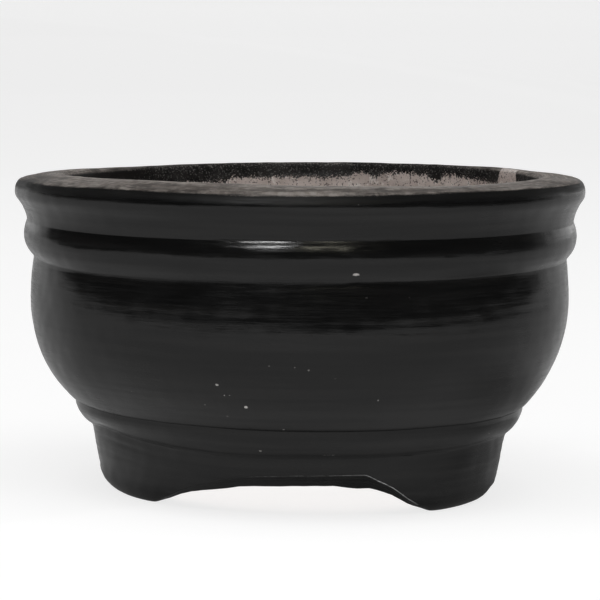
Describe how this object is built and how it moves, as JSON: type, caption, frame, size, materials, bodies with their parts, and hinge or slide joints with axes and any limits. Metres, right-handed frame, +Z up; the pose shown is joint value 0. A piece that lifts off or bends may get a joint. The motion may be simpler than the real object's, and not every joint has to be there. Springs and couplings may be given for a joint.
{
  "type": "bonsai pot",
  "caption": "Round footed bonsai pot with a flared lip, a belt bead, a rounded bowl, open arches between its feet and a drain hole, painted black over bare clay.",
  "frame": {"origin": "on the ground under the middle of the pot", "axes": "+Z up along the pot's axis; the open arch that faces the viewer is on the -Y side, and +X is to the viewer's right"},
  "size_m": [0.2002, 0.2002, 0.1104],
  "materials": {
    "black_paint": "hand-brushed gloss black over bare clay",
    "bare_clay": "rough unglazed pale pinkish-grey clay"
  },
  "bodies": {
    "root": {"lip_ring": "black_paint", "bead_ring": "black_paint", "bowl_wall": "black_paint", "step_band": "black_paint", "foot_ring": "black_paint", "floor_slab": "bare_clay", "foot_left": "black_paint", "foot_right": "black_paint", "foot_back": "black_paint"}
  },
  "joints": []
}
